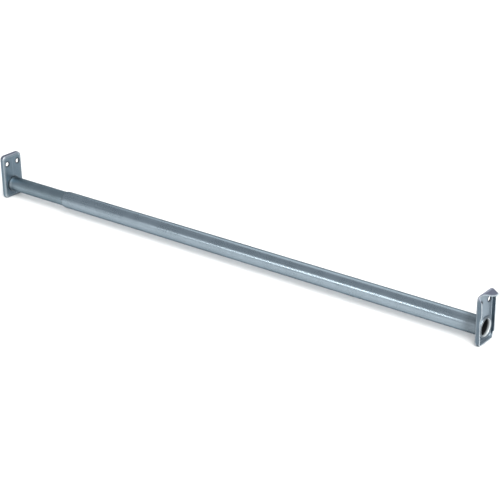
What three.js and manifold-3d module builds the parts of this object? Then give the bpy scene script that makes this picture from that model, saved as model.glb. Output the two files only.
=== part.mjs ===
// Adjustable telescopic bar: two round steel tubes, one sliding and turning inside the other,
// each with its open end staked into a pressed steel end bracket that screws to a wall.
// Millimetres. X runs along the tubes, Z is up, and the origin is on the surface the bar stands on.
import * as THREE from 'three';
import { mergeVertices } from 'three/addons/utils/BufferGeometryUtils.js';
import Module from 'manifold-3d';

const wasm = await Module();
wasm.setup();

// Driving dimensions
const plateSpan = 851; // between the tube-side faces of the two brackets, as the bar is set
const outerTubeRadius = 12.7; // 1 in tube
const innerTubeRadius = 11.1; // 7/8 in tube
const tubeWall = 1.0;
const innerShowing = 116; // inner tube between its bracket and the outer tube's mouth
const innerHidden = 435; // inner tube inside the outer tube, at this setting
const mouthTaper = 6.5; // length over which the outer tube's mouth is swaged down
const runningGap = 0.1; // radial clearance where one piece turns or slides on another
const stakedGap = 0.15; // between a tube and the collar it is staked into

const sheet = 1.5; // bracket steel
const plateTop = 49.5; // above the tube axis
const plateBottom = 20.5; // below the tube axis
const outerPlateWidth = 40;
const innerPlateWidth = 38;
const cornerRadius = 6;
const bendRadius = 2.2;
const rimDepth = 7.2; // wall-side rim behind the tube-side face
const dish = 0.4; // the flat of the plate lies this far behind its rolled edge
const dishInset = 3.4;
const screwHoleRadius = 3.25;
const screwSpacing = 21.7;
const screwHeight = 35.6; // above the tube axis
const collarCrest = 4.6; // the drawn collar's height, from the tube-side face
const collarFoot = 4.6; // how far its fillet reaches outside the tube
const lipOverhang = 1.3; // the tube's staked lip, outside the tube
const lipFront = 5.6;
// The outer bracket's top flange droops into a hood, low over the -Y half and with an ear at the +Y corner
const hoodSlope = 0.8; // fall of the hood for each millimetre towards the wall
const hoodLow = 3; // the hood's depth over the -Y half
const earDepth = 10.8;
const earFoot = 38; // height above the tube axis where the ear leaves the side flange
const cheekDepth = 8.3; // the -Y flange is a little deeper over this stretch
const cheekBottom = 20;
const cheekTop = 42;

const bushGroove = { fromEnd: 4, length: 10, depth: 0.5, shoulder: 1.2 };

const roundSegments = 48;
const holeSegments = 24;

// Manifold solid of a closed three.js geometry
function solidOf(geometry) {
  const bare = geometry.clone();
  bare.deleteAttribute('normal');
  bare.deleteAttribute('uv');
  const merged = mergeVertices(bare, 1e-4);
  const vertProperties = new Float32Array(merged.getAttribute('position').array);
  const triVerts = new Uint32Array(merged.index.array);
  return new wasm.Manifold(new wasm.Mesh({ numProp: 3, vertProperties, triVerts }));
}

function geometryOf(solid) {
  const mesh = solid.getMesh();
  const geometry = new THREE.BufferGeometry();
  geometry.setAttribute('position', new THREE.BufferAttribute(new Float32Array(mesh.vertProperties), 3));
  geometry.setIndex(new THREE.BufferAttribute(new Uint32Array(mesh.triVerts), 1));
  geometry.computeVertexNormals();
  return geometry;
}

// A closed profile of [x, radius] points, turned about the X axis
function turned(profile, segments = roundSegments) {
  const points = [...profile, profile[0]].map(([x, radius]) => new THREE.Vector2(radius, x));
  return new THREE.LatheGeometry(points, segments).rotateZ(-Math.PI / 2);
}

// Points of an arc in a turned profile, about (x, radius)
function profileArc(x, radius, size, fromDeg, toDeg, steps = 4) {
  return Array.from({ length: steps + 1 }, (_, i) => {
    const angle = THREE.MathUtils.degToRad(fromDeg + ((toDeg - fromDeg) * i) / steps);
    return [x + size * Math.cos(angle), radius + size * Math.sin(angle)];
  });
}

// Plate outline in the bracket's own plane: shape x is Y, shape y is Z
function plateOutline(width, inset) {
  const half = width / 2 - inset;
  const top = plateTop - inset;
  const bottom = -plateBottom + inset;
  const r = cornerRadius - Math.min(inset, cornerRadius - 2);
  const shape = new THREE.Shape();
  shape.moveTo(half - r, bottom);
  shape.absarc(half - r, bottom + r, r, -Math.PI / 2, 0);
  shape.absarc(half - r, top - r, r, 0, Math.PI / 2);
  shape.absarc(-half + r, top - r, r, Math.PI / 2, Math.PI);
  shape.absarc(-half + r, bottom + r, r, Math.PI, Math.PI * 1.5);
  return shape;
}

const alongX = new THREE.Matrix4().makeBasis(
  new THREE.Vector3(0, 1, 0),
  new THREE.Vector3(0, 0, 1),
  new THREE.Vector3(1, 0, 0),
);

// The plate outline run back from x = start, its front edge rolled to the given radius
function rolledBlock(width, inset, start, bend) {
  const geometry = new THREE.ExtrudeGeometry(plateOutline(width, inset), {
    depth: 3 * earDepth,
    bevelThickness: bend,
    bevelSize: bend,
    bevelOffset: -bend,
    bevelSegments: 3,
    curveSegments: 5,
  });
  return solidOf(geometry.applyMatrix4(alongX).translate(start + bend, 0, 0));
}

// Everything under the sloping hood, which starts at the given height on the tube-side face
function underHood(height) {
  const reach = 4 * plateTop;
  const block = new THREE.BoxGeometry(reach, reach, reach).translate(0, 0, -reach / 2);
  return solidOf(block.rotateY(Math.atan(hoodSlope)).translate(0, 0, height));
}

// What is trimmed off in front of a plain bracket's rim
function plainTrim() {
  const size = 4 * plateTop;
  return solidOf(new THREE.BoxGeometry(size, size, size).translate(rimDepth + size / 2, 0, 0));
}

// What is trimmed off in front of the hooded bracket's rim: its -Y cheek, the rest below the hood, the hood
function hoodedTrim() {
  const far = 2 * plateTop;
  const split = -0.6 * (outerPlateWidth / 2);
  const cheek = new THREE.Shape([
    new THREE.Vector2(rimDepth, -far),
    new THREE.Vector2(far, -far),
    new THREE.Vector2(far, far),
    new THREE.Vector2(hoodLow, far),
    new THREE.Vector2(hoodLow, cheekTop + 4),
    new THREE.Vector2(cheekDepth, cheekTop),
    new THREE.Vector2(cheekDepth, cheekBottom + 2),
    new THREE.Vector2(rimDepth, cheekBottom - 1),
  ]);
  const cheekCut = new THREE.ExtrudeGeometry(cheek, { depth: far, bevelEnabled: false });
  cheekCut.rotateX(Math.PI / 2).translate(0, split, 0);
  const lowCut = new THREE.BoxGeometry(far, far, far);
  lowCut.translate(rimDepth + far / 2, split + far / 2, earFoot - far / 2);
  const hoodEdge = new THREE.Shape([
    new THREE.Vector2(hoodLow, split),
    new THREE.Vector2(far, split),
    new THREE.Vector2(far, far),
    new THREE.Vector2(earDepth, far),
    new THREE.Vector2(earDepth, 10.6),
    new THREE.Vector2(9.3, 5.4),
    new THREE.Vector2(6, -1.4),
    new THREE.Vector2(3.6, -7),
  ]);
  const hoodCut = new THREE.ExtrudeGeometry(hoodEdge, { depth: far, bevelEnabled: false });
  hoodCut.translate(0, 0, earFoot);
  return solidOf(cheekCut).add(solidOf(lowCut)).add(solidOf(hoodCut));
}

// Collar drawn out of the plate towards the wall, with its rolled entry on the tube side
function collarSolid(tubeRadius) {
  const foot = tubeRadius + collarFoot;
  const neck = tubeRadius + stakedGap + sheet;
  const fillet = foot - neck;
  const floor = dish + sheet;
  return solidOf(turned([
    [dish + 0.2, tubeRadius - 1],
    [dish + 0.2, foot],
    ...profileArc(floor + fillet, foot, fillet, 180, 270),
    [collarCrest, neck - 0.5],
    [collarCrest, tubeRadius - 1],
  ]));
}

function collarBore(tubeRadius) {
  const bore = tubeRadius + stakedGap;
  const entry = 1.3;
  const arc = profileArc(dish + entry, bore + entry, entry, 180, 270);
  return solidOf(turned([[-sheet, 0], [-sheet, bore + entry], ...arc, [lipFront, bore], [lipFront, 0]]));
}

// A pressed bracket, tube-side face at x = 0 and wall side towards +X
function bracketSolid(width, tubeRadius, hooded) {
  let outside = rolledBlock(width, 0, 0, bendRadius);
  let inside = rolledBlock(width, sheet, sheet + dish, bendRadius - sheet + 0.3);
  if (hooded) {
    const hoodTop = plateTop + bendRadius * hoodSlope;
    outside = outside.intersect(underHood(hoodTop));
    inside = inside.intersect(underHood(hoodTop - sheet * Math.hypot(1, hoodSlope)));
  }
  const recess = new THREE.ExtrudeGeometry(plateOutline(width, dishInset), {
    depth: dish + 1,
    bevelEnabled: false,
    curveSegments: 4,
  });
  let solid = outside.subtract(inside).subtract(hooded ? hoodedTrim() : plainTrim());
  solid = solid.subtract(solidOf(recess.applyMatrix4(alongX).translate(-1, 0, 0)));
  solid = solid.add(collarSolid(tubeRadius)).subtract(collarBore(tubeRadius));
  for (const side of [-1, 1]) {
    const drill = new THREE.CylinderGeometry(screwHoleRadius, screwHoleRadius, 4 * sheet, holeSegments);
    drill.rotateZ(Math.PI / 2).translate(sheet, (side * screwSpacing) / 2, screwHeight);
    solid = solid.subtract(solidOf(drill));
  }
  return solid;
}

// The staked end of a tube, its lip rolled out over the collar's crest: outside, then back inside
function stakedEnd(plateX, radius) {
  const lipBack = plateX + collarCrest + 0.2;
  const front = plateX + lipFront;
  const edge = (front - lipBack) / 2;
  const bore = radius - tubeWall;
  return [
    [lipBack, radius],
    ...profileArc(front - edge, radius + lipOverhang - edge, edge, 180, 0, 5).slice(1),
    ...profileArc(front - 1.6, bore + 1.6, 1.6, 0, -90).slice(1),
  ];
}

function outerTubeGeometry() {
  const mouth = -(plateSpan - innerShowing);
  const throat = innerTubeRadius + 0.25;
  const bore = outerTubeRadius - tubeWall;
  return turned([
    [mouth, throat + 0.2],
    [mouth + 0.3, throat + 0.6],
    [mouth + mouthTaper * 0.35, outerTubeRadius - 0.35],
    [mouth + mouthTaper, outerTubeRadius],
    ...stakedEnd(0, outerTubeRadius),
    [mouth + mouthTaper, bore],
    [mouth + 3, throat],
    [mouth + 0.4, throat],
  ]);
}

function innerTubeGeometry() {
  const end = innerShowing + innerHidden;
  const { fromEnd, length, depth, shoulder } = bushGroove;
  const back = end - fromEnd;
  const front = back - length;
  const bore = innerTubeRadius - tubeWall;
  const profile = stakedEnd(0, innerTubeRadius).map(([x, radius]) => [-x, radius]).reverse();
  return turned([
    ...profile,
    [front - shoulder, innerTubeRadius],
    [front, innerTubeRadius - depth],
    [back, innerTubeRadius - depth],
    [back + shoulder, innerTubeRadius],
    [end, innerTubeRadius - 0.2],
    [end, bore],
    [back + shoulder, bore],
    [back, bore - depth],
    [front, bore - depth],
    [front - shoulder, bore],
  ]);
}

// Split nylon ring that lies in the inner tube's groove and rubs on the outer tube's bore
function glideBushSolid() {
  const { length, depth } = bushGroove;
  const inner = innerTubeRadius - depth + runningGap;
  const outer = outerTubeRadius - tubeWall - runningGap;
  const half = length / 2 - 0.3;
  const ring = turned([
    [-half, inner],
    [-half, outer - 0.2],
    [-half + 0.6, outer],
    [half - 0.6, outer],
    [half, outer - 0.2],
    [half, inner],
  ]);
  const slit = new THREE.BoxGeometry(length, 1.2, 2 * tubeWall).translate(0, 0, outer);
  return solidOf(ring).subtract(solidOf(slit));
}

function piece(name, geometry, color, roughness, metalness) {
  const mesh = new THREE.Mesh(geometry, new THREE.MeshStandardMaterial({ color, roughness, metalness }));
  mesh.name = name;
  return mesh;
}

const outerTube = piece('outer_tube', outerTubeGeometry(), 0x98a6b0, 0.32, 0.9);
const innerTube = piece('inner_tube', innerTubeGeometry(), 0x7d8d94, 0.42, 0.85);
const outerBracket = piece(
  'outer_end_bracket',
  geometryOf(bracketSolid(outerPlateWidth, outerTubeRadius, true)),
  0x8b98a5,
  0.4,
  0.85,
);
const innerBracket = piece(
  'inner_end_bracket',
  geometryOf(bracketSolid(innerPlateWidth, innerTubeRadius, false)),
  0x7f8d9a,
  0.42,
  0.85,
);
const glideBush = piece('glide_bush', geometryOf(glideBushSolid()), 0xe9e6dc, 0.6, 0);

// The outer section's plate is at x = 0; the inner section runs towards +X from its own plate
innerBracket.rotation.z = Math.PI;
glideBush.position.x = innerShowing + innerHidden - bushGroove.fromEnd - bushGroove.length / 2;

const innerSection = new THREE.Group();
innerSection.add(innerTube, innerBracket, glideBush);
innerSection.position.x = -plateSpan;

const bar = new THREE.Group();
bar.add(outerTube, outerBracket, innerSection);
bar.position.set((plateSpan + rimDepth - earDepth) / 2, 0, plateBottom);

export default bar;
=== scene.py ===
import math

import bmesh
import bpy
import numpy as np
from mathutils import Matrix, Vector
from mathutils.geometry import delaunay_2d_cdt


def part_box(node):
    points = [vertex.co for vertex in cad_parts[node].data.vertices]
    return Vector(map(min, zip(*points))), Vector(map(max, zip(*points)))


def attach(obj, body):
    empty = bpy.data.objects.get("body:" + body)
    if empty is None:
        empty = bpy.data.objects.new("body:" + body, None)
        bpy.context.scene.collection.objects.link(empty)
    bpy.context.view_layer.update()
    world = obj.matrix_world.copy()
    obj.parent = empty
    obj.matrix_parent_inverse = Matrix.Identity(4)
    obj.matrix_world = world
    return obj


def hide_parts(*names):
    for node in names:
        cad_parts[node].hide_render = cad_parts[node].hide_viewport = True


# A telescopic bar: two plated tubes, a pressed bracket staked to each, and a nylon glide bush between them
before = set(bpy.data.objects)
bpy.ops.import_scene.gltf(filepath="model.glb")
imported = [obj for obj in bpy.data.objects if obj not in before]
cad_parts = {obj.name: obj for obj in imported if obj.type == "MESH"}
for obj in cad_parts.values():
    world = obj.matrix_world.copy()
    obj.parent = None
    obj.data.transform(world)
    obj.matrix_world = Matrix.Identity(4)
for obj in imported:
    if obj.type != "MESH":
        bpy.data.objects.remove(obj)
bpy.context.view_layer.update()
scene = bpy.context.scene
mm = 0.001

# Places that the frame gives, in millimetres: the plates' tube-side planes, the tube ends and the tube axis
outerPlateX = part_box("outer_end_bracket")[0].x / mm
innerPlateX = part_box("inner_end_bracket")[1].x / mm
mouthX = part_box("outer_tube")[0].x / mm
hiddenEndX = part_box("inner_tube")[1].x / mm
bushX = sum(corner.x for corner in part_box("glide_bush")) / 2 / mm
axisZ = sum(corner.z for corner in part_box("outer_tube")) / 2 / mm


def arcPoints(centreX, centreR, size, fromDeg, toDeg, steps):
    # x = centre + size cos, radius = centre + size sin, at even angles
    angle = np.radians(np.linspace(fromDeg, toDeg, steps + 1))
    return np.stack([centreX + size * np.cos(angle), centreR + size * np.sin(angle)], 1)


def runPoints(start, end, steps):
    # steps points on the straight run after start, up to and with end
    share = np.linspace(0, 1, steps + 1)[1:, None]
    return np.asarray(start) + (np.asarray(end) - np.asarray(start)) * share


def ringQuads(rows, columns, closeRows, closeColumns):
    # quads between neighbouring rows and columns of a grid of vertices counted row by row
    i = np.arange(rows if closeRows else rows - 1)[:, None]
    j = np.arange(columns if closeColumns else columns - 1)[None, :]
    nextRow, nextColumn = (i + 1) % rows, (j + 1) % columns
    quads = [i * columns + j, nextRow * columns + j, nextRow * columns + nextColumn, i * columns + nextColumn]
    return np.stack([q + np.zeros_like(i * j) for q in quads], -1).reshape(-1, 4)


def meshObject(name, points, faceLists):
    # a mesh from points in millimetres
    mesh = bpy.data.meshes.new(name)
    mesh.from_pydata((points * mm).tolist(), [], [f for faces in faceLists for f in faces.tolist()])
    mesh.validate()
    obj = bpy.data.objects.new(name, mesh)
    scene.collection.objects.link(obj)
    return obj


def surfacePoints(mesh):
    # the vertices' places in millimetres
    values = np.zeros(len(mesh.vertices) * 3)
    mesh.vertices.foreach_get("co", values)
    return values.reshape(-1, 3) / mm


def surfaceNormals(mesh):
    # the vertices' outward unit normals
    values = np.zeros(len(mesh.vertices) * 3)
    mesh.vertices.foreach_get("normal", values)
    return values.reshape(-1, 3)


def finishSurface(obj, weld=0.0):
    # merges doubles closer than weld mm where parts of the surface meet, shades it smooth, stores the masks
    mesh = obj.data
    if weld:
        work = bmesh.new()
        work.from_mesh(mesh)
        bmesh.ops.remove_doubles(work, verts=work.verts, dist=weld * mm)
        bmesh.ops.recalc_face_normals(work, faces=work.faces)
        openEdges = sum(len(e.link_faces) != 2 for e in work.edges)
        print("  ", obj.name, "faces", len(work.faces), "open edges", openEdges,
              "volume mm3", round(work.calc_volume(signed=True) / mm ** 3, 1))
        work.to_mesh(mesh)
        work.free()
    mesh.shade_smooth()
    mesh.update()
    storeEdgeMasks(mesh)


def storeMask(mesh, name, values):
    # a value from 0 to 1 at each vertex, which the finishes read
    layer = mesh.attributes.new(name, "FLOAT", "POINT")
    layer.data.foreach_set("value", np.clip(values, 0, 1).astype(np.float32))


def storeEdgeMasks(mesh, roundest=2.2, flatBelow=0.12):
    # bend at a vertex = twice the sum, over its edges, of how far the neighbour lies below the tangent plane
    # per mm of edge, over the sum of the edge lengths, which is one over the radius; outward bends fill the
    # first mask and inward ones the second, near 1 at a radius of roundest mm or less, and 0 on the flats and
    # on the tubes' own roundness. The first carries edge wear and a painted highlight along the brackets'
    # bends;
    # the second carries painted shade in the tubes' creases and a painted highlight along the brackets' inner
    # bends
    points, normals = surfacePoints(mesh), surfaceNormals(mesh)
    ends = np.zeros(len(mesh.edges) * 2, int)
    mesh.edges.foreach_get("vertices", ends)
    a, b = ends.reshape(-1, 2).T
    step = points[b] - points[a]
    length = np.maximum(np.linalg.norm(step, axis=1), 1e-6)
    fallA = -np.einsum("ij,ij->i", step, normals[a]) / length
    fallB = np.einsum("ij,ij->i", step, normals[b]) / length
    count = len(points)
    spread = np.bincount(a, length, count) + np.bincount(b, length, count) + 1e-9
    bend = 2 * (np.bincount(a, fallA, count) + np.bincount(b, fallB, count)) / spread
    near = np.bincount(a, minlength=count) + np.bincount(b, minlength=count) + 1e-9
    for _ in range(2):
        bend = 0.5 * bend + 0.5 * (np.bincount(a, bend[b], count) + np.bincount(b, bend[a], count)) / near
    storeMask(mesh, "wornAndSheen", bend * roundest - flatBelow)
    storeMask(mesh, "inwardBendShadeAndSheen", -bend * roundest - flatBelow)


bothTubes = {
    "wall": 1.0, "around": 256,
    "lipRun": 0.6, "lipRise": 0.12, "lipBack": 4.8, "lipFront": 5.6, "lipOut": 1.3, "bell": 1.6,
    "boreFrom": 0.35, "boreFade": 0.5,  # how far in from the outside the bore's look starts, and its fade
}
outerTube = {
    **bothTubes, "radius": 12.7, "throat": 11.35, "throatLength": 1.5, "mouthTaper": 6.5, "mouthEdge": 0.32,
    "fineRun": 60.0, "fineBore": 9.0,  # close rings beside the plate and behind the lip, for the masks
    "clearTo": 0.8, "darkFrom": 5.0,  # how far behind the lip the bore's painted shade starts and reaches full dark
    "punchX": 5.1, "punchY": 3.8, "punchZ": -11.1, "punchSize": 0.5, "punchDepth": 0.45,
    "plateShadeReach": 19.0, "shadeAndSheen": 2.2,  # painted shadow of the plate, darkening the tube beside it
}
innerTube = {
    **bothTubes, "radius": 11.1, "endEdge": 0.3,
    "grooveFromEnd": 4.0, "grooveLength": 10.0, "grooveDepth": 0.5, "shoulder": 1.2,
    "clearTo": 2.5, "darkFrom": 10.0, "fineBore": 14.0,
    "seamHeight": 0.18, "seamWidth": 0.7, "seamAngle": 205.0, "seamFrom": 0.6, "seamFade": 0.3,
    "flare": 0.55, "flareAt": 0.5, "flareWide": 3.2, "flareNarrow": 1.1, "flareTo": 10.0,
    "flareSheenAt": 2.0, "flareSheenReach": 2.6, "rubAndSheen": 0.75,  # a painted highlight ring on the flare
}


def stakedLip(t):
    # profile from the tube's outside at the collar's crest, round the rolled lip and down the bell mouth
    bore = t["radius"] - t["wall"]
    edge = (t["lipFront"] - t["lipBack"]) / 2
    middle = t["lipFront"] - edge
    return np.concatenate([
        runPoints((t["lipBack"] - t["lipRun"], t["radius"]), (t["lipBack"], t["radius"] + t["lipRise"]), 2),
        arcPoints(middle, t["radius"] + t["lipOut"] - edge, edge, 180, 0, 12),
        arcPoints(t["lipFront"] - t["bell"], bore + t["bell"], t["bell"], 0, -90, 12)[1:],
    ])


def turnedPiece(name, profile, around, relief):
    # point(i, j) = (x_i, r_i cos a_j, r_i sin a_j) round the tube axis, moved inwards along the profile's
    # normal by relief(x, radius, angle); the profile closes on itself clockwise, so its normal is the way it
    # runs, turned left
    x, radius = profile.T
    along = np.roll(profile, -1, 0) - np.roll(profile, 1, 0)
    along /= np.maximum(np.linalg.norm(along, axis=1, keepdims=True), 1e-9)
    normal = np.stack([-along[:, 1], along[:, 0]], 1)
    angle = np.linspace(0, 2 * math.pi, around, endpoint=False)
    sunk = relief(x[:, None], radius[:, None], angle[None, :])
    px = x[:, None] - normal[:, :1] * sunk
    pr = radius[:, None] - normal[:, 1:] * sunk
    points = np.stack([px, pr * np.cos(angle), axisZ + pr * np.sin(angle)], -1).reshape(-1, 3)
    return meshObject(name, points, [ringQuads(len(x), around, True, True)[:, ::-1]])


def outerTubeProfile(t):
    # mouth swaged down to the throat, straight body, staked lip, bore and back to the throat; the taper's
    # radius follows the sine of the share raised to 0.85 outside and half a cosine wave inside
    bore, edge = t["radius"] - t["wall"], t["mouthEdge"]
    share = np.linspace(0, 1, 15)
    start = t["throat"] + 2 * edge
    taperR = start + (t["radius"] - start) * np.sin(share * math.pi / 2) ** 0.85
    taper = np.stack([mouthX + edge + (t["mouthTaper"] - edge) * share, taperR], 1)
    innerR = t["throat"] + (bore - t["throat"]) * (0.5 - 0.5 * np.cos(share * math.pi))
    innerStart = t["throatLength"]
    inner = np.stack([mouthX + innerStart + (t["mouthTaper"] - innerStart) * share, innerR], 1)[::-1]
    lip = stakedLip(t) + [outerPlateX, 0]
    nearPlate = lip[0] - [t["fineRun"], 0]
    deepEnd = lip[-1] - [t["fineBore"], 0]
    return np.concatenate([
        arcPoints(mouthX + edge, t["throat"] + edge, edge, 270, 90, 8)[:-1],
        taper,
        runPoints(taper[-1], nearPlate, 44),
        runPoints(nearPlate, lip[0], 20)[:-1],
        lip,
        runPoints(lip[-1], deepEnd, 14),
        runPoints(deepEnd, inner[0], 24)[:-1],
        inner,
    ])


def innerTubeProfile(t):
    # staked lip at the plate, long body, glide groove rolled in near the hidden end, end face and bore; the
    # groove's shoulders are half a cosine wave
    end, bore, depth = hiddenEndX, t["radius"] - t["wall"], t["grooveDepth"]
    back = end - t["grooveFromEnd"]
    front = back - t["grooveLength"]
    lip = (stakedLip(t) * [-1, 1] + [innerPlateX, 0])[::-1]
    share = 0.5 - 0.5 * np.cos(np.linspace(0, math.pi, 7))
    x = np.linspace(0, t["shoulder"], 7)

    def rolled(radius):
        down = np.stack([front - t["shoulder"] + x, radius - depth * share], 1)
        up = np.stack([back + x, radius - depth + depth * share], 1)
        return np.concatenate([down, runPoints(down[-1], up[0], 4)[:-1], up])

    # the flare beside the plate: a bell curve along the tube, steep on the plate's side and long on the other
    root = runPoints(lip[-1], (innerPlateX + t["flareTo"], t["radius"]), 40)
    past = root[:, 0] - innerPlateX - t["flareAt"]
    root[:, 1] += t["flare"] * np.exp(-(past / np.where(past > 0, t["flareWide"], t["flareNarrow"])) ** 2)

    outside, inside = rolled(t["radius"]), rolled(bore)
    e = t["endEdge"]
    edge = arcPoints(end - e, t["radius"] - e, e, 90, 0, 4)
    innerEdge = arcPoints(end - e, bore + e, e, 0, -90, 4)
    deepEnd = lip[0] + [t["fineBore"], 0]
    return np.concatenate([
        lip, root, runPoints(root[-1], outside[0], 40)[:-1], outside, edge, innerEdge,
        inside[::-1], runPoints(inside[0], deepEnd, 30), runPoints(deepEnd, lip[0], 14)[:-1],
    ])


def punchRelief(x, radius, angle):
    # a round dent: depth times the bell curve of the distance from the punch's centre
    t = outerTube
    away = (x - outerPlateX - t["punchX"]) ** 2 + (radius * np.cos(angle) - t["punchY"]) ** 2
    away = away + (radius * np.sin(angle) - t["punchZ"]) ** 2
    return t["punchDepth"] * np.exp(-away / (2 * t["punchSize"] ** 2))


def seamRelief(x, radius, angle):
    # the weld's inside bead: a low ridge along the bore, where the radius is nearer the bore than the outside
    t = innerTube
    apart = np.angle(np.exp(1j * (angle - math.radians(t["seamAngle"])))) * radius
    inBore = np.clip((t["radius"] - t["seamFrom"] - radius) / t["seamFade"], 0, 1)
    return -t["seamHeight"] * inBore * np.exp(-(apart / t["seamWidth"]) ** 2)


def markBore(obj, t, lipX):
    # "bore" is 1 on the bore and 0 outside, by the distance from the tube axis; the second mask grows from 0
    # to 1 between clearTo and darkFrom mm behind the open lip, and paints shade that darkens the bore with
    # depth
    x, y, z = surfacePoints(obj.data).T
    radius = np.hypot(y, z - axisZ)
    behind = np.abs(x - lipX)
    storeMask(obj.data, "bore", (t["radius"] - t["boreFrom"] - radius) / t["boreFade"])
    storeMask(obj.data, "deep", (behind - t["clearTo"]) / (t["darkFrom"] - t["clearTo"]))


def ringMask(obj, name, centreX, reach, amount):
    # raises a stored mask to amount * exp(-(distance along the tube / reach)^2) round a ring of the tube
    values = np.zeros(len(obj.data.vertices))
    layer = obj.data.attributes[name]
    layer.data.foreach_get("value", values)
    ring = amount * np.exp(-((surfacePoints(obj.data)[:, 0] - centreX) / reach) ** 2)
    layer.data.foreach_set("value", np.clip(np.maximum(values, ring), 0, 1).astype(np.float32))


outerTubeObj = turnedPiece("outer_tube_drawn", outerTubeProfile(outerTube), outerTube["around"], punchRelief)
innerTubeObj = turnedPiece("inner_tube_drawn", innerTubeProfile(innerTube), innerTube["around"], seamRelief)
finishSurface(outerTubeObj)
finishSurface(innerTubeObj)
# painted shadow: the tube darkens near the outer plate
ringMask(outerTubeObj, "inwardBendShadeAndSheen", outerPlateX, outerTube["plateShadeReach"], outerTube["shadeAndSheen"])
# painted highlight: a bright ring on the inner tube's flare beside its plate
ringMask(innerTubeObj, "wornAndSheen", innerPlateX + innerTube["flareSheenAt"], innerTube["flareSheenReach"], innerTube["rubAndSheen"])
markBore(outerTubeObj, outerTube, outerPlateX + outerTube["lipFront"])
markBore(innerTubeObj, innerTube, innerPlateX - innerTube["lipFront"])
print("tubes drawn:", len(outerTubeObj.data.polygons), "and", len(innerTubeObj.data.polygons), "faces")


bush = {"inner": 10.72, "outer": 11.58, "half": 4.68, "edge": 0.22, "slit": 1.2, "around": 180}


def bushRing(name, b):
    # a rounded-rectangle section carried round the axis from one side of the slit to the other, ends closed
    corners = [(-1, 0, 180, 270), (1, 0, 270, 360), (1, 1, 0, 90), (-1, 1, 90, 180)]
    section = np.concatenate([
        arcPoints(side * (b["half"] - b["edge"]), b["outer"] - b["edge"] if top else b["inner"] + b["edge"],
                  b["edge"], start, stop, 4)
        for side, top, start, stop in corners
    ])
    half = b["slit"] / 2 / b["outer"]
    angle = math.pi / 2 + np.linspace(half, 2 * math.pi - half, b["around"])
    x = bushX + section[:, 0][None, :] + 0 * angle[:, None]
    radius = section[:, 1][None, :] + 0 * angle[:, None]
    points = np.stack([x, radius * np.cos(angle)[:, None], axisZ + radius * np.sin(angle)[:, None]], -1)
    faces = ringQuads(len(angle), len(section), False, True)[:, ::-1]
    points = points.reshape(-1, 3)
    firstEnd = np.arange(len(section))[None, :]
    return meshObject(name, points, [faces, firstEnd, len(points) - 1 - firstEnd])


bushObj = bushRing("glide_bush_ring", bush)
finishSurface(bushObj, weld=0.0001)
print("glide bush made")


sheet = {
    "thick": 1.5, "bend": 2.2, "innerBend": 0.9, "rimEdge": 0.35, "rimSoft": 0.55, "corner": 6.0,
    "dish": 0.4, "dishFrom": 3.1, "dishRun": 0.9,  # the plate sinks by dish over dishRun mm, dishFrom mm in
    "flatOutside": 4.2, "flatWall": 4.0,  # how far in the flats begin, on the tube's side and the wall's side
    "rowsOutside": 3.0, "rowsWall": 2.7, "rowBend": 2.6,  # where the rows between the flats and the bends lie
}
outerBracket = {
    "halfWidth": 20.0, "top": 49.5, "bottom": -20.5, "tubeRadius": 12.7, "facing": 1,
    "screwHalf": 10.85, "screwHeight": 35.6, "screwRadius": 3.25, "countersink": 0.3,
    "hoodStart": 2.8, "hoodSlope": 0.8, "hoodSoft": 1.0, "hoodFrom": 36.0,
    # depth of the wall-side rim at points (y, z) round the outline, before the hood droops
    "rim": [
        (20, 34, 7.0), (20, 36, 6.6), (20, 37.3, 6.7), (20, 39, 8.0), (20, 41, 8.9), (20, 43.5, 9.9),
        (18.6, 47.5, 10.6), (16, 49.2, 10.8), (10.6, 49.5, 10.75), (5.4, 49.5, 9.3), (1, 49.5, 7.5),
        (-1.4, 49.5, 5.9), (-6, 49.5, 4.0), (-12, 49.5, 3.05), (-16, 49.2, 3.0), (-17.8, 48.2, 3.3),
        (-18.8, 47.2, 4.6), (-19.6, 45.8, 6.2), (-20, 44.4, 7.7), (-20, 42.5, 8.0), (-20, 33.8, 8.4),
        (-20, 26.9, 8.8), (-20, 22.7, 8.5), (-20, 18.9, 7.7), (-20, 16.5, 6.8), (-20, 11, 6.9),
        (-20, 4, 7.3), (-20, -3, 7.2), (-20, -12, 7.7), (-20, -14.5, 7.6), (-19, -17.6, 7.3),
        (-18, -19, 5.7), (-17.2, -19.6, 5.6), (-16.4, -20, 6.9), (-14, -20.5, 7.0), (0, -20.5, 6.9),
        (12, -20.5, 6.9), (15, -20.4, 6.6), (16.8, -19.8, 5.4), (18.2, -18.8, 5.0), (19.2, -17.5, 5.6),
        (19.7, -16.3, 5.5), (20, -14.9, 4.6), (20, -14, 4.6), (20, -13, 6.2), (20, -11.6, 7.0), (20, 5, 7.0),
    ],
}
innerBracket = {
    "halfWidth": 19.0, "top": 49.5, "bottom": -20.5, "tubeRadius": 11.1, "facing": -1,
    "screwHalf": 10.85, "screwHeight": 35.6, "screwRadius": 3.25, "countersink": 0.3,
    "rim": [(19, 0, 7.2), (0, 49.5, 7.2), (-19, 0, 7.2), (0, -20.5, 7.2)],
}
collar = {
    "gap": 0.15, "entry": 1.9, "entryFlat": 0.35, "crest": 4.6, "crestTurn": 0.5, "boreEase": 0.25,
    "foot": 4.6, "footShare": 2.6, "climbFrom": 2.0, "climbTo": 0.12, "shoulder": 0.1, "around": 144,
}


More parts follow.
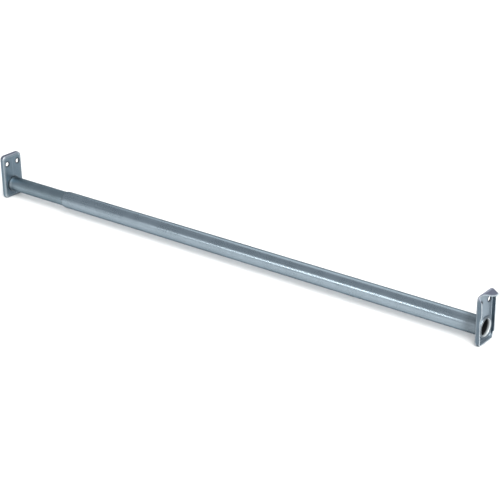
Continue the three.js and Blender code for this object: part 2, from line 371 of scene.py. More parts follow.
def plateOutline(b, spacing=0.75, cornerSteps=16):
    # stations round a rounded rectangle, as points (y, z) and their outward normals
    r = sheet["corner"]
    w, top, bottom = b["halfWidth"], b["top"], b["bottom"]
    centres = [(w - r, top - r), (-w + r, top - r), (-w + r, bottom + r), (w - r, bottom + r)]
    points, normals = [], []
    for k, centre in enumerate(centres):
        angle = np.radians(90 * k + np.linspace(0, 90, cornerSteps + 1))
        n = np.stack([np.cos(angle), np.sin(angle)], 1)
        arc = np.asarray(centre) + r * n
        following = np.asarray(centres[(k + 1) % 4]) + r * n[-1]
        steps = max(2, round(float(np.linalg.norm(following - arc[-1])) / spacing))
        points += [arc, runPoints(arc[-1], following, steps)[:-1]]
        normals += [n, np.tile(n[-1], (steps - 1, 1))]
    return np.concatenate(points), np.concatenate(normals)


def rimDepths(b, points):
    # depth at each station: straight between the given points by distance round the outline, then averaged
    # with its neighbours, weighted by a bell curve rimSoft mm wide
    step = np.linalg.norm(np.roll(points, -1, 0) - points, axis=1)
    along = np.concatenate([[0], np.cumsum(step)[:-1]])
    given = np.asarray(b["rim"], float)
    apart = np.linalg.norm(given[:, None, :2] - points[None], axis=2)
    where = along[apart.argmin(1)]
    order = np.argsort(where)
    depth = np.interp(along, where[order], given[order, 2], period=step.sum())
    gap = np.abs(along[:, None] - along[None])
    gap = np.minimum(gap, step.sum() - gap)
    weight = np.exp(-(gap / sheet["rimSoft"]) ** 2) * step[None]
    return (weight @ depth) / weight.sum(1)


def dishRise(inset):
    # a smooth step: share squared times (3 - 2 share)
    share = np.clip((inset - sheet["dishFrom"]) / sheet["dishRun"], 0, 1)
    return sheet["dish"] * share * share * (3 - 2 * share)


def flangeProfile():
    # (inset, fixed part of x, share of x that follows the rim depth, skin), from the plate's tube side over
    # the bend, down the flange, round the rim edge and back up to the floor; skin is 0 outside, 1 inside
    bend, edge, thick, inner = sheet["bend"], sheet["rimEdge"], sheet["thick"], sheet["innerBend"]

    def rows(*columns):
        return np.stack(np.broadcast_arrays(*[np.atleast_1d(c) for c in columns]), 1)

    outside = np.linspace(sheet["flatOutside"], sheet["rowsOutside"], 7)
    inside = np.linspace(sheet["rowsWall"], sheet["flatWall"], 7)
    down = np.linspace(0, 1, 8)[1:]
    bendTurn, edgeTurn, innerTurn = (np.radians(np.linspace(0, 90, n)) for n in (9, 5, 7))
    rimInset = thick - edge + edge * np.sin(edgeTurn)
    rimStart = edge - edge * np.cos(edgeTurn[1:])
    floorTurn = innerTurn[1:]
    return np.concatenate([
        rows(outside, dishRise(outside), 0, 0),
        rows(sheet["rowBend"], 0, 0, 0),
        rows(bend - bend * np.sin(bendTurn), bend - bend * np.cos(bendTurn), 0, 0),
        rows(0, bend * (1 - down) - edge * down, down, 0),
        rows(rimStart, -edge + edge * np.sin(edgeTurn[1:]), 1, rimStart / thick),
        rows(rimInset, -edge + edge * np.cos(edgeTurn), 1, rimInset / thick),
        rows(thick, -edge * (1 - down) + (thick + inner) * down, 1 - down, 1),
        rows(thick + inner - inner * np.cos(floorTurn), thick + inner - inner * np.sin(floorTurn), 0, 1),
        rows(inside, thick + dishRise(inside), 0, 1),
    ])


def droop(b, points, skin):
    # above hoodFrom, heights shrink so that the top edge follows a plane falling towards the wall; the inside
    # of the sheet follows the same plane, lower by the thickness measured square to it
    if "hoodSlope" not in b:
        return points
    x, z = points[:, 0], points[:, 2]
    s, start, soft, base = b["hoodSlope"], b["hoodStart"], b["hoodSoft"], b["hoodFrom"]
    fall = 0.5 * s * ((x - start) + np.hypot(x - start, soft))
    lean = 0.5 + 0.5 * (x - start) / np.hypot(x - start, soft)
    thick = sheet["thick"] * (1 + (math.hypot(1, s) - 1) * lean)
    factor = (b["top"] - fall - thick * skin - base) / (b["top"] - sheet["thick"] * skin - base)
    points = points.copy()
    points[:, 2] = np.where(z > base, base + (z - base) * factor, z)
    return points


def circleLoop(centre, radius, count):
    # points (y, z) at even angles round a circle
    angle = np.linspace(0, 2 * math.pi, count, endpoint=False)
    return np.asarray(centre) + radius * np.stack([np.cos(angle), np.sin(angle)], 1)


def flatField(loop, holes, extra):
    # triangles that fill a convex loop round its holes, with the extra points inside it
    rings = [loop, *[ring for ring, _, _ in holes]]
    points = np.concatenate([*rings, extra])
    edges, first = [], 0
    for ring in rings:
        index = np.arange(len(ring))
        edges += (first + np.stack([index, (index + 1) % len(ring)], 1)).tolist()
        first += len(ring)
    out = delaunay_2d_cdt([Vector(p) for p in points.tolist()], edges, [list(range(len(loop)))], 1, 1e-6)
    flat = np.asarray([tuple(v) for v in out[0]])
    faces = np.asarray([tuple(f) for f in out[2]])
    keep = np.ones(len(faces), bool)
    for _, centre, radius in holes:
        away = np.linalg.norm(flat[faces] - np.asarray(centre), axis=2)
        keep &= away.max(1) > radius * 1.0005  # a triangle that fills the hole has every corner on the ring
    return flat, faces[keep]


# how the flats are filled with points, in millimetres
flats = {
    "grid": 2.0, "gridHalf": 14.0, "gridTop": 44.0, "gridFromScrew": 2.0, "gridFromCollar": 3.2,
    "screwSteps": 48, "screwRings": ((0.5, 48), (1.3, 32)), "collarRings": (0.5, 1.0, 1.6, 2.4),
    "sideMargin": 0.45, "endMargin": 4.7, "cornerReach": 1.5, "holeMargin": 0.3,
}


def flatFiller(b, screws, lip, ring, inset):
    # points that fill a flat: a square grid, and rings round the collar and screw holes, clear of every edge
    f = flats
    across = np.arange(-f["gridHalf"], f["gridHalf"] + 0.1, f["grid"])
    upwards = np.arange(-f["gridHalf"], f["gridTop"] + 0.1, f["grid"])
    grid = np.stack(np.meshgrid(across, upwards), -1).reshape(-1, 2)
    extra = [grid]
    for screw in screws:
        extra += [circleLoop(screw, lip + gap, steps) for gap, steps in f["screwRings"]]
    extra += [circleLoop((0, 0), ring + gap, collar["around"]) for gap in f["collarRings"]]
    extra = np.concatenate(extra)
    y, z = np.abs(extra[:, 0]), extra[:, 1]
    w = b["halfWidth"] - inset - f["sideMargin"]
    clear = (y < w) & (z < b["top"] - f["endMargin"]) & (z > b["bottom"] + f["endMargin"])
    middle, half = (b["top"] + b["bottom"]) / 2, (b["top"] - b["bottom"]) / 2
    reach = f["cornerReach"]
    overY = np.maximum(y - (w - reach), 0)
    overZ = np.maximum(np.abs(z - middle) - (half - f["endMargin"] - reach), 0)
    clear &= np.hypot(overY, overZ) < reach
    for centre, radius in [((0, 0), ring), *[(screw, lip) for screw in screws]]:
        clear &= np.linalg.norm(extra - np.asarray(centre), axis=1) > radius + f["holeMargin"]
    for screw in screws:
        near = np.linalg.norm(grid - np.asarray(screw), axis=1)
        clear[: len(grid)] &= near > lip + f["gridFromScrew"]
    clear[: len(grid)] &= np.hypot(*grid.T) > ring + f["gridFromCollar"]
    return extra[clear]


def bracket(name, b, plateX):
    foot = b["tubeRadius"] + collar["foot"]
    bore = b["tubeRadius"] + collar["gap"]
    neck = bore + sheet["thick"]
    fillet = foot - neck
    floorX = sheet["thick"] + sheet["dish"]
    screws = [(side * b["screwHalf"], b["screwHeight"]) for side in (-1, 1)]

    def footRise(points):
        # the collar's fillet: a quarter circle that leaves the floor at the foot radius
        away = np.clip(foot - np.hypot(points[:, 1], points[:, 2]), 0, collar["footShare"])
        return fillet - np.sqrt(fillet ** 2 - np.minimum(away, fillet * 0.999) ** 2)

    parts, faceLists, first = [], [], 0

    def add(points, faces):
        nonlocal first
        parts.append(points)
        faceLists.extend(f + first for f in faces)
        first += len(points)

    # the flange band: profile carried round the outline, point(station, k) = outline - inset_k * normal
    stations, normals = plateOutline(b)
    depth = rimDepths(b, stations)
    inset, fixed, follow, skin = flangeProfile().T
    x = fixed[None, :] + follow[None, :] * depth[:, None]
    yz = stations[:, None, :] - normals[:, None, :] * inset[None, :, None]
    band = np.concatenate([x[..., None], yz], 2).reshape(-1, 3)
    insets, skins = (np.broadcast_to(v[None, :], x.shape).ravel() for v in (inset, skin))
    # past the inside bend the collar's fillet may start
    onFloor = (insets > sheet["thick"] + sheet["innerBend"] + 0.1) & (skins > 0.99)
    band[:, 0] += np.where(onFloor, footRise(band), 0)
    add(droop(b, band, skins), [ringQuads(len(stations), len(inset), True, False)])

    # the two flats, each between the band's edge, the collar and the screw holes
    entryRadius = bore + collar["entry"] + collar["entryFlat"]
    wallRadius = foot - collar["climbFrom"]
    lip = b["screwRadius"] + b["countersink"]
    for wall in (False, True):
        loop = yz[:, -1 if wall else 0]
        ring = wallRadius if wall else entryRadius
        holes = [(circleLoop((0, 0), ring, collar["around"]), (0, 0), ring)]
        holes += [(circleLoop(screw, lip, flats["screwSteps"]), screw, lip) for screw in screws]
        extra = flatFiller(b, screws, lip, ring, sheet["flatWall" if wall else "flatOutside"])
        flat, faces = flatField(loop, holes, extra)
        points = np.concatenate([np.full((len(flat), 1), floorX if wall else sheet["dish"]), flat], 1)
        if wall:
            points[:, 0] += footRise(points)
        add(droop(b, points, 1.0 if wall else 0.0), [faces])

    # the drawn collar: up the fillet, over the crest, down the bore and out over the rolled entry
    climb = np.linspace(wallRadius, neck + collar["climbTo"], 8)
    climbX = floorX + fillet - np.sqrt(fillet ** 2 - (foot - climb) ** 2)
    crest, turn, ease, entry = collar["crest"], collar["crestTurn"], collar["boreEase"], collar["entry"]
    shoulder = neck + collar["shoulder"] - turn
    profile = np.concatenate([
        np.stack([climbX, climb], 1),
        arcPoints(crest - turn, shoulder, turn, 60, 0, 5),
        runPoints((crest, shoulder), (crest, bore + ease), 3),
        arcPoints(crest - ease, bore + ease, ease, 0, -90, 4)[1:],
        runPoints((crest - ease, bore), (sheet["dish"] + entry, bore), 5),
        arcPoints(sheet["dish"] + entry, bore + entry, entry, 270, 180, 10)[1:],
        [(sheet["dish"], entryRadius)],
    ])
    angle = np.linspace(0, 2 * math.pi, collar["around"], endpoint=False)
    ringYZ = profile[:, 1][:, None, None] * np.stack([np.cos(angle), np.sin(angle)], 1)[None]
    ringX = np.broadcast_to(profile[:, 0][:, None, None], (len(profile), len(angle), 1))
    add(np.concatenate([ringX, ringYZ], 2).reshape(-1, 3), [ringQuads(len(profile), len(angle), False, True)])

    # the punched screw holes, their edges eased
    sink, steps = b["countersink"], flats["screwSteps"]
    wallLine = np.concatenate([
        arcPoints(sheet["dish"] + sink, lip, sink, 180, 270, 5),
        runPoints((sheet["dish"] + sink, b["screwRadius"]), (floorX - sink, b["screwRadius"]), 3),
        arcPoints(floorX - sink, lip, sink, 270, 360, 5)[1:],
    ])
    for screw in screws:
        loops = np.stack([circleLoop(screw, radius, steps) for radius in wallLine[:, 1]])
        depths = np.broadcast_to(wallLine[:, 0][:, None, None], (len(loops), steps, 1))
        points = np.concatenate([depths, loops], 2).reshape(-1, 3)
        through = (points[:, 0] - sheet["dish"]) / sheet["thick"]
        add(droop(b, points, through), [ringQuads(len(loops), steps, False, True)])

    points = np.concatenate(parts)
    points[:, :2] *= b["facing"]  # a half turn about the vertical for the bracket at the other end
    points += [plateX, 0, axisZ]
    obj = meshObject(name, points, faceLists)
    finishSurface(obj, weld=0.002)
    markCutsAndPaint(obj, b, plateX, screws, bore)
    return obj


marks = {
    "cutAndShade": 1.15, "cutAndShadeFade": 2.0, "cutAndShadeDeep": 2.4,  # the dark on and round the punched edges: bare cut steel, with painted shade on the hole walls
    "throat": 0.35, "throatFade": 0.5, "throatDeep": 3.5,  # and painted shade down the collar's rolled entry
    "wallTurn": 0.35, "wallFade": 0.4, "wallDeep": 1.0,
    "lowTurn": 0.3, "lowReach": 6.0, "lowDeep": 2.2,
    "upwardReflectionTurn": 0.25, "upwardReflectionFade": 0.4, "upwardReflectionReach": 16.0,
}


def markCutsAndPaint(obj, b, plateX, screws, bore):
    # the first mask is 1 on the punched walls and in the collar's throat, and fades over the mark's fade
    # distance in mm onto the plate; its near-black colour darkens the bare punched edges and paints shade on
    # the hole walls and throat
    m = marks
    x, y, z = surfacePoints(obj.data).T
    nx, _, nz = surfaceNormals(obj.data).T
    depth, y, z = (x - plateX) * b["facing"], y * b["facing"], z - axisZ
    cutAndShade = np.zeros(len(x))
    for screwY, screwZ in screws:
        away = np.hypot(y - screwY, z - screwZ) - b["screwRadius"]
        cutAndShade = np.maximum(cutAndShade, np.where(depth < m["cutAndShadeDeep"], m["cutAndShade"] - away / m["cutAndShadeFade"], 0))
    throat = (bore + m["throat"] * collar["entry"] - np.hypot(y, z)) / m["throatFade"]
    storeMask(obj.data, "cutAndShade", np.maximum(cutAndShade, np.where(depth < m["throatDeep"], throat, 0)))
    # the next mask is 1 on faces turned to the wall and inside the lower flange, where a paler colour paints
    # light on the pan's floor, rims and lower flange
    towardsWall = np.where(depth > m["wallDeep"], (nx * b["facing"] - m["wallTurn"]) / m["wallFade"], 0)
    lowInside = (depth > m["lowDeep"]) & (z < b["bottom"] + m["lowReach"]) & (nz > m["lowTurn"])
    storeMask(obj.data, "paintedInsideLight", np.where(lowInside, 1, towardsWall))
    # the next mask is 1 on faces near the top that look up, where a violet cast paints the reflection seen on
    # them
    upwards = (nz - m["upwardReflectionTurn"]) / m["upwardReflectionFade"]
    storeMask(obj.data, "upwardReflection", np.where(z > b["top"] - m["upwardReflectionReach"], upwards, 0))


outerBracketObj = bracket("outer_end_bracket_pressed", outerBracket, outerPlateX)
innerBracketObj = bracket("inner_end_bracket_pressed", innerBracket, innerPlateX)
print("brackets pressed")


# what each piece rides on, the CAD node it stands for and the record's material slot
for obj, body, node, slot in (
    (outerTubeObj, "outer_section", "outer_tube", "outer_tube_zinc"),
    (outerBracketObj, "outer_section", "outer_end_bracket", "bracket_zinc"),
    (innerTubeObj, "inner_section", "inner_tube", "inner_tube_zinc"),
    (innerBracketObj, "inner_section", "inner_end_bracket", "bracket_zinc"),
    (bushObj, "glide", "glide_bush", "bush_nylon"),
):
    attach(obj, body)
    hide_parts(node)
print("pieces riding")


def feed(tree, n, inputs):
    # each input takes a link from a socket, or else a plain value
    for key, value in inputs.items():
        if isinstance(value, bpy.types.NodeSocket):
            tree.links.new(value, n.inputs[key])
        else:
            n.inputs[key].default_value = value
    return n


def put(tree, kind, inputs=None, **settings):
    # a new shader node with its settings and inputs
    n = tree.nodes.new("ShaderNode" + kind)
    for key, value in settings.items():
        setattr(n, key, value)
    return feed(tree, n, inputs or {})


def calc(tree, operation, a, b=0.0, c=0.0, clamp=False):
    return put(tree, "Math", {0: a, 1: b, 2: c}, operation=operation, use_clamp=clamp).outputs[0]


def mixed(tree, share, a, b):
    return feed(tree, put(tree, "Mix", data_type="RGBA"), {0: share, 6: a, 7: b}).outputs[2]


def maskOf(tree, name):
    return put(tree, "Attribute", attribute_name=name).outputs["Fac"]


def fill(tree, group, inputs):
    return feed(tree, put(tree, "Group", node_tree=group), inputs)


def newGroup(name, inputs, outputs):
    group = bpy.data.node_groups.new(name, "ShaderNodeTree")
    for label, kind, value in inputs:
        socket = group.interface.new_socket(label, in_out="INPUT", socket_type="NodeSocket" + kind)
        if value is not None:
            socket.default_value = value
    for label, kind in outputs:
        group.interface.new_socket(label, in_out="OUTPUT", socket_type="NodeSocket" + kind)
    return group, group.nodes.new("NodeGroupInput"), group.nodes.new("NodeGroupOutput")


def platedGroup():
    # plated steel: two tones mottled together, fine crystals, varied gloss and a faint orange-peel height
    g, i, o = newGroup("platedSteel", [
        ("Vector", "Vector", None),
        ("Tone", "Color", (0.4, 0.42, 0.44, 1)), ("Shade", "Color", (0.3, 0.32, 0.34, 1)),
        ("Mottle", "Float", 60.0), ("Crystal", "Float", 900.0),
        ("Gloss", "Float", 0.3), ("Spread", "Float", 0.1),
    ], [("Color", "Color"), ("Roughness", "Float"), ("Height", "Float")])
    vector, mottle, crystal, spread = (i.outputs[k] for k in ("Vector", "Mottle", "Crystal", "Spread"))
    cloud = put(g, "TexNoise", {"Vector": vector, "Scale": mottle, "Detail": 5.0, "Roughness": 0.6})
    cloud = calc(g, "SUBTRACT", cloud.outputs[0], 0.5)
    cell = put(g, "TexVoronoi", {"Vector": vector, "Scale": crystal}).outputs["Color"]
    cell = put(g, "SeparateColor", {0: cell}).outputs[0]
    grain = put(g, "TexNoise", {"Vector": vector, "Scale": crystal, "Detail": 3.0}).outputs[0]
    evenGrain = calc(g, "SUBTRACT", grain, 0.5)
    share = calc(g, "MULTIPLY_ADD", cloud, 2.1, 0.5, clamp=True)
    share = calc(g, "MULTIPLY_ADD", calc(g, "SUBTRACT", cell, 0.5), 0.34, share)
    share = calc(g, "MULTIPLY_ADD", evenGrain, 0.5, share, clamp=True)
    rough = calc(g, "MULTIPLY_ADD", cloud, spread, i.outputs["Gloss"])
    rough = calc(g, "MULTIPLY_ADD", evenGrain, calc(g, "MULTIPLY", spread, 0.6), rough, clamp=True)
    feed(g, o, {"Color": mixed(g, share, i.outputs["Shade"], i.outputs["Tone"]), "Roughness": rough,
                "Height": calc(g, "MULTIPLY_ADD", cell, 0.35, grain)})
    return g


def drawLineGroup():
    # long scratches and die lines: noise on stretched coordinates, kept where it is high
    g, i, o = newGroup("drawLines", [
        ("Vector", "Vector", None), ("Keep", "Float", 0.58),
    ], [("Mask", "Float"), ("Height", "Float")])
    line = put(g, "TexNoise", {"Vector": i.outputs["Vector"], "Scale": 1.0, "Detail": 4.0, "Roughness": 0.65})
    over = calc(g, "SUBTRACT", line.outputs[0], i.outputs["Keep"])
    feed(g, o, {"Mask": calc(g, "MULTIPLY", over, 7.0, clamp=True), "Height": line.outputs[0]})
    return g


def edgeGroup():
    # a mask stored on the surface, broken up by noise so that wear and the painted light and shade come and
    # go along an edge
    g, i, o = newGroup("brokenEdge", [
        ("Mask", "Float", 0.0), ("Vector", "Vector", None), ("Amount", "Float", 1.0), ("Break", "Float", 0.5),
    ], [("Mask", "Float")])
    noise = put(g, "TexNoise", {"Vector": i.outputs["Vector"], "Scale": 320.0, "Detail": 4.0}).outputs[0]
    keep = calc(g, "SUBTRACT", 1.0, calc(g, "MULTIPLY", i.outputs["Break"], noise))
    kept = calc(g, "MULTIPLY", i.outputs["Mask"], keep)
    feed(g, o, {"Mask": calc(g, "MULTIPLY", kept, i.outputs["Amount"], clamp=True)})
    return g


plated, drawLines, brokenEdge = platedGroup(), drawLineGroup(), edgeGroup()


def emptyMaterial(name):
    mat = bpy.data.materials.new(name)
    mat.use_nodes = True
    mat.node_tree.nodes.clear()
    return mat, mat.node_tree, put(mat.node_tree, "TexCoord").outputs["Object"]


def mottledBase(tree, coords, f):
    return fill(tree, plated, {"Vector": coords, "Tone": (*f["tone"], 1), "Shade": (*f["shade"], 1),
                               "Mottle": f["mottle"], "Crystal": f["crystal"], "Gloss": f["gloss"],
                               "Spread": f["spread"]})


def steelFinish(name, f):
    mat, tree, coords = emptyMaterial(name)

    def broken(mask, amount, breakUp):
        return fill(tree, brokenEdge, {"Mask": maskOf(tree, mask), "Vector": coords, "Amount": amount,
                                       "Break": breakUp}).outputs[0]

    def tinted(share, amount, colour, key):
        return mixed(tree, calc(tree, "MULTIPLY", share, amount), colour, (*f[key], 1))

    base = mottledBase(tree, coords, f)
    stretched = put(tree, "Mapping", {"Vector": coords, "Scale": f["lineScale"]}).outputs[0]
    crossed = put(tree, "Mapping", {"Vector": coords, "Rotation": f["scratchTurn"],
                                    "Scale": f["scratchScale"]}).outputs[0]
    lines = fill(tree, drawLines, {"Vector": stretched, "Keep": f["lineKeep"]})
    scratches = fill(tree, drawLines, {"Vector": crossed, "Keep": f["scratchKeep"]}).outputs[0]
    wearAndSheen = broken("wornAndSheen", f["wearAndSheen"], f["wearAndSheenBreak"])
    inwardShadeAndSheen = broken("inwardBendShadeAndSheen", f["inwardShadeAndSheen"], f["inwardShadeAndSheenBreak"])

    colour = tinted(lines.outputs["Mask"], f["lineTint"], base.outputs["Color"], "line")
    colour = tinted(scratches, f["scratchTint"], colour, "line")
    # painted light: a paler colour on faces turned to the wall and inside the lower flange
    if "paintedInsideColour" in f:
        paintedInsideLight = maskOf(tree, "paintedInsideLight")
        colour = tinted(paintedInsideLight, f["paintedInsideShare"], colour, "paintedInsideColour")
    if "upwardReflectionColour" in f:
        # painted reflection: a violet cast on upward faces near the top
        colour = mixed(tree, broken("upwardReflection", f["upwardReflection"], f["upwardReflectionBreak"]), colour, (*f["upwardReflectionColour"], 1))
    # edge wear, with a painted highlight along the brackets' bends and rims
    colour = mixed(tree, wearAndSheen, colour, (*f["bare"], 1))
    # painted shade in the tubes' creases and beside the outer plate, and a painted highlight along the
    # brackets' inner bends
    colour = mixed(tree, inwardShadeAndSheen, colour, (*f["shadeAndSheen"], 1))
    rough = calc(tree, "MULTIPLY_ADD", lines.outputs["Mask"], f["lineRough"], base.outputs["Roughness"])
    rough = calc(tree, "MULTIPLY_ADD", inwardShadeAndSheen, f["inwardShadeAndSheenRough"], rough, clamp=True)
    # darkened bare punched edges, with painted shade on the hole walls and down the collar's throat
    if "cutAndShadeColour" in f:
        cutAndShade = broken("cutAndShade", f["cutAndShade"], f["cutAndShadeBreak"])
        colour = mixed(tree, cutAndShade, colour, (*f["cutAndShadeColour"], 1))
        rough = calc(tree, "MULTIPLY_ADD", cutAndShade, f["cutAndShadeRough"], rough, clamp=True)
    height = calc(tree, "MULTIPLY_ADD", lines.outputs["Height"], f["lineHeight"], base.outputs["Height"])
    bump = put(tree, "Bump", {"Strength": f["bump"], "Distance": f["bumpDepth"], "Height": height}).outputs[0]
    shader = put(tree, "BsdfPrincipled", {"Base Color": colour, "Metallic": 1.0, "Roughness": rough,
                                          "Normal": bump, "Specular Tint": (*f["edgeTint"], 1)})
    if "paintedInsideColour" in f:
        # inside the pan the plating is thinner, so part of it scatters
        feed(tree, shader, {"Metallic": calc(tree, "MULTIPLY_ADD", paintedInsideLight, -f["insideDull"], 1.0)})
    if "boreColour" in f:
        # the bore's plating is thin and dull, so it is only partly a mirror
        bore = maskOf(tree, "bore")
        # painted shade: the bore's colour goes near black with depth
        boreShaded = mixed(tree, maskOf(tree, "deep"), (*f["boreColour"], 1), (*f["boreShadeColour"], 1))
        feed(tree, shader, {
            "Base Color": mixed(tree, bore, colour, boreShaded),
            "Metallic": calc(tree, "MULTIPLY_ADD", bore, -f["boreDull"], 1.0),
            "Roughness": calc(tree, "MULTIPLY_ADD", bore, f["boreRough"], rough, clamp=True),
        })
    put(tree, "OutputMaterial", {"Surface": shader.outputs[0]})
    return mat


tubeZinc = {
    "tone": (0.300, 0.360, 0.408), "shade": (0.250, 0.304, 0.346), "line": (0.46, 0.54, 0.58),
    # the dark colour for the inward-bend mask is painted shade, in the tubes' creases and beside the outer
    # plate
    "bare": (0.62, 0.66, 0.69), "shadeAndSheen": (0.07, 0.08, 0.09),
    "mottle": 42.0, "crystal": 1100.0, "gloss": 0.285, "spread": 0.14,
    "lineScale": (9.0, 900.0, 900.0), "lineKeep": 0.56,
    "lineTint": 0.45, "lineRough": 0.07, "lineHeight": 1.6,
    "scratchTurn": (0.3, 0.5, 0.2), "scratchScale": (40.0, 1300.0, 1300.0),
    "scratchKeep": 0.66, "scratchTint": 0.4,
    "wearAndSheen": 0.9, "wearAndSheenBreak": 0.7, "inwardShadeAndSheen": 0.72, "inwardShadeAndSheenBreak": 0.5, "inwardShadeAndSheenRough": 0.25,
    "bump": 0.15, "bumpDepth": 0.00004, "edgeTint": (0.26, 0.30, 0.33),
    # the bore's dark colour is painted shade deep inside the tube
    "boreColour": (0.80, 0.86, 0.89), "boreShadeColour": (0.012, 0.014, 0.016), "boreDull": 0.6, "boreRough": 0.25,
}
innerZinc = dict(
    tubeZinc, tone=(0.230, 0.290, 0.332), shade=(0.186, 0.234, 0.266), line=(0.31, 0.38, 0.41), gloss=0.36,
    spread=0.12, lineTint=0.4, bump=0.3,
)
bracketZinc = dict(
    {k: v for k, v in tubeZinc.items() if not k.startswith("bore")},
    # the brackets' pale bare colour and large wear amount also paint a highlight along the bends and rims
    tone=(0.140, 0.180, 0.216), shade=(0.110, 0.143, 0.174), bare=(0.78, 0.83, 0.86),
    mottle=95.0, crystal=1500.0, gloss=0.36,
    lineScale=(700.0, 700.0, 12.0), lineTint=0.35, lineHeight=0.9,
    scratchTurn=(0.5, 0.2, 0.1), scratchScale=(1400.0, 1400.0, 60.0),
    wearAndSheen=1.25, bump=0.4, edgeTint=(0.35, 0.38, 0.42),
    shadeAndSheen=(0.58, 0.66, 0.72), inwardShadeAndSheen=0.85, inwardShadeAndSheenRough=-0.06,  # a pale colour that paints a highlight along the inner bends
    # near black: bare punched edges and painted shade in the holes and the throat
    cutAndShadeColour=(0.02, 0.022, 0.028), cutAndShade=1.1, cutAndShadeBreak=0.35, cutAndShadeRough=0.2,
    # painted light: the paler colour inside the pan
    paintedInsideColour=(0.375, 0.446, 0.505), paintedInsideShare=0.6, insideDull=0.35,
    # painted reflection: the violet cast on upward faces
    upwardReflectionColour=(0.19, 0.186, 0.256), upwardReflection=0.9, upwardReflectionBreak=0.5,
)
innerBracketZinc = dict(bracketZinc, tone=(0.165, 0.219, 0.264), shade=(0.128, 0.174, 0.210), gloss=0.40)
glideNylon = {
    "tone": (0.78, 0.76, 0.69), "shade": (0.66, 0.63, 0.55), "rubbed": (0.42, 0.41, 0.38),
    "mottle": 180.0, "crystal": 2200.0, "gloss": 0.5, "spread": 0.14,
    "rubAndSheen": 0.8, "rubBreak": 0.8, "bump": 0.25, "bumpDepth": 0.00005,
}


def nylonFinish(name, f):
    mat, tree, coords = emptyMaterial(name)
    base = mottledBase(tree, coords, f)
    rubAndSheen = fill(tree, brokenEdge, {"Mask": maskOf(tree, "wornAndSheen"), "Vector": coords, "Amount": f["rubAndSheen"],
                                  "Break": f["rubBreak"]}).outputs[0]
    colour = mixed(tree, rubAndSheen, base.outputs["Color"], (*f["rubbed"], 1))
    bump = put(tree, "Bump", {"Strength": f["bump"], "Distance": f["bumpDepth"],
                              "Height": base.outputs["Height"]}).outputs[0]
    shader = put(tree, "BsdfPrincipled", {"Base Color": colour, "Roughness": base.outputs["Roughness"],
                                          "Normal": bump, "IOR": 1.53})
    put(tree, "OutputMaterial", {"Surface": shader.outputs[0]})
    return mat


for obj, mat in (
    (outerTubeObj, steelFinish("outerTubeZinc", tubeZinc)),
    (innerTubeObj, steelFinish("innerTubeZinc", innerZinc)),
    (outerBracketObj, steelFinish("outerBracketZinc", bracketZinc)),
    (innerBracketObj, steelFinish("innerBracketZinc", innerBracketZinc)),
    (bushObj, nylonFinish("glideNylon", glideNylon)),
):
    obj.data.materials.append(mat)
print("finishes laid on")

floor = {"half": 9.0, "colour": (0.955, 0.955, 0.955), "rough": 0.75}


def floorPlane(f):
    mesh = bpy.data.meshes.new("studio_floor")
    h = f["half"]
    mesh.from_pydata([(-h, -h, 0), (h, -h, 0), (h, h, 0), (-h, h, 0)], [], [(0, 1, 2, 3)])
    obj = bpy.data.objects.new("studio_floor", mesh)
    scene.collection.objects.link(obj)
    mat = bpy.data.materials.new("paleFloor")
    mat.use_nodes = True
    tree = mat.node_tree
    shader = tree.nodes["Principled BSDF"]
    coords = put(tree, "TexCoord").outputs["Object"]
    cloud = put(tree, "TexNoise", {"Vector": coords, "Scale": 1.5, "Detail": 3.0}).outputs[0]
    low = tuple(c * 0.985 for c in f["colour"])
    colour = mixed(tree, cloud, (*low, 1), (*f["colour"], 1))
    feed(tree, shader, {"Base Color": colour, "Roughness": f["rough"], "Specular IOR Level": 0.1})
    obj.data.materials.append(mat)


lampTint = (1.0, 0.985, 0.95)
panels = (
    # name, place, aim, width, height, watts
    ("backSweep", (-1.05, 1.9, 1.7), (0, 0, 0), 2.0, 1.5, 12.0),  # the tube's upper band
    ("frontStrip", (-0.41, -1.25, 0.49), (0, 0, 0.02), 0.40, 0.10, 2.0),  # the tube's highlight, right half
    ("frontDim", (-0.75, -1.25, 0.44), (0, 0, 0.02), 0.28, 0.18, 0.95),  # and its left half
    ("frontPanel", (-1.08, -1.25, 0.33), (-0.1, 0, 0.02), 0.40, 0.34, 0.42),
    ("keyFront", (1.5, -1.9, 1.5), (0.1, 0, 0), 1.8, 1.2, 27.0),
    ("topFill", (1.2, -0.7, 2.2), (-0.25, 0.4, 0), 2.0, 1.6, 22.0),
    ("backRight", (0.43, 1.65, 1.3), (-0.43, 0, 0.07), 0.6, 0.5, 3.0),  # the inner bracket's plate
)
evenFill = {"towards": (-1.5, 1.2, -2.6), "strength": 1.5, "spread": 40}
room = {"light": (0.91, 0.965, 1.03), "strength": 0.55, "seen": (1, 1, 1)}


def lamp(name, kind, towards, place=(0, 0, 0)):
    # a lamp at place that shines in the direction towards
    data = bpy.data.lights.new(name, kind)
    data.color = lampTint
    obj = bpy.data.objects.new(name, data)
    scene.collection.objects.link(obj)
    obj.location = place
    obj.rotation_mode = "QUATERNION"
    obj.rotation_quaternion = Vector(towards).to_track_quat("-Z", "Y")
    return data


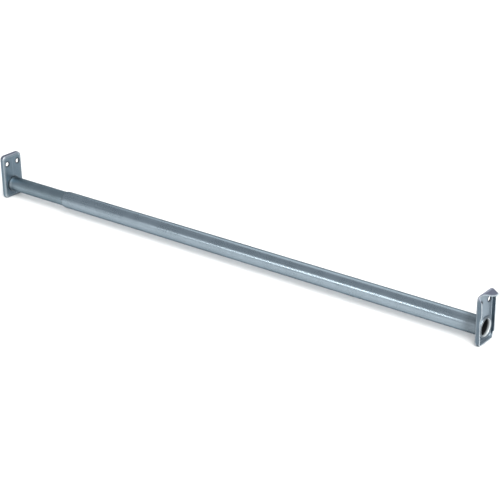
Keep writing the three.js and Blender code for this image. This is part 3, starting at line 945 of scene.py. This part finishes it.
def studioRoom(r):
    # the room lights softly, and where it is seen directly it is as white as the floor
    world = bpy.data.worlds.new("studio")
    scene.world = world
    world.use_nodes = True
    tree = world.node_tree
    soft = feed(tree, tree.nodes["Background"], {"Color": (*r["light"], 1), "Strength": r["strength"]})
    white = put(tree, "Background", {"Color": (*r["seen"], 1), "Strength": 1.0})
    seen = put(tree, "LightPath").outputs["Is Camera Ray"]
    blend = put(tree, "MixShader", {0: seen, 1: soft.outputs[0], 2: white.outputs[0]})
    feed(tree, tree.nodes["World Output"], {"Surface": blend.outputs[0]})


floorPlane(floor)
for name, place, aim, wide, high, watts in panels:
    panel = lamp(name, "AREA", Vector(aim) - Vector(place), place)
    panel.shape, panel.size, panel.size_y, panel.energy = "RECTANGLE", wide, high, watts
even = lamp("evenFill", "SUN", evenFill["towards"])  # wide and soft, it lights the floor out to the horizon
even.energy, even.angle = evenFill["strength"], math.radians(evenFill["spread"])
studioRoom(room)

camera = {
    "place": (1.20518, -1.47343, 0.86215), "yaw": 38.092, "pitch": 23.995, "roll": -0.809,
    "lens": 104.403, "sensor": 36.0,
}


def studioCamera(c):
    # yaw about the vertical, then pitch down, then roll about the line of sight, all in degrees
    yaw, pitch, roll = (math.radians(c[k]) for k in ("yaw", "pitch", "roll"))
    ahead = Vector((-math.sin(yaw) * math.cos(pitch), math.cos(yaw) * math.cos(pitch), -math.sin(pitch)))
    right = Vector((math.cos(yaw), math.sin(yaw), 0))
    up = right.cross(ahead)
    right, up = right * math.cos(roll) + up * math.sin(roll), up * math.cos(roll) - right * math.sin(roll)
    data = bpy.data.cameras.new("studioCamera")
    data.lens, data.sensor_width, data.clip_start, data.clip_end = c["lens"], c["sensor"], 0.05, 50
    obj = bpy.data.objects.new("studioCamera", data)
    scene.collection.objects.link(obj)
    turn = Matrix((right, up, -ahead)).transposed()
    obj.matrix_world = Matrix.Translation(c["place"]) @ turn.to_4x4()
    return obj


scene.camera = studioCamera(camera)
scene.view_settings.view_transform = "Standard"
print("studio set")
